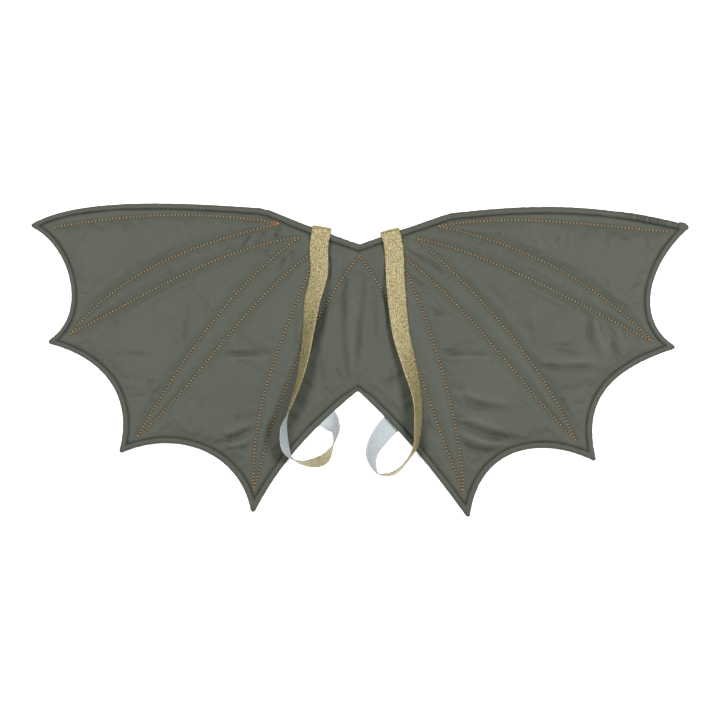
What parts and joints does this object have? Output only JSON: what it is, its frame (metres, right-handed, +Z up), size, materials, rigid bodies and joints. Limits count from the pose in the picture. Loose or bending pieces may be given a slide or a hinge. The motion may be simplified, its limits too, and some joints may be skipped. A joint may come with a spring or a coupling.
{
  "type": "dragon wings",
  "caption": "Quilted cloth dragon wings with scalloped lower edges, corded piping and two flat elastic arm straps, lying flat.",
  "frame": {"origin": "under the middle of the whole object, on the surface it lies on", "axes": "+X along the span to the right wing, +Y towards the neck edge, +Z up out of the wearer's side"},
  "size_m": [0.8424, 0.4016, 0.034],
  "materials": {
    "wing_cloth": "grey-green cotton sateen, soft low sheen, quilted with mustard thread",
    "piping_cloth": "the same grey-green cotton sateen over a cord",
    "gold_elastic": "knitted elastic, gold metallic yarn outside and pale grey inside"
  },
  "bodies": {
    "root": {"wing_panel": "wing_cloth", "piping_left": "piping_cloth", "piping_right": "piping_cloth", "strap_left": "gold_elastic", "strap_right": "gold_elastic"}
  },
  "joints": []
}
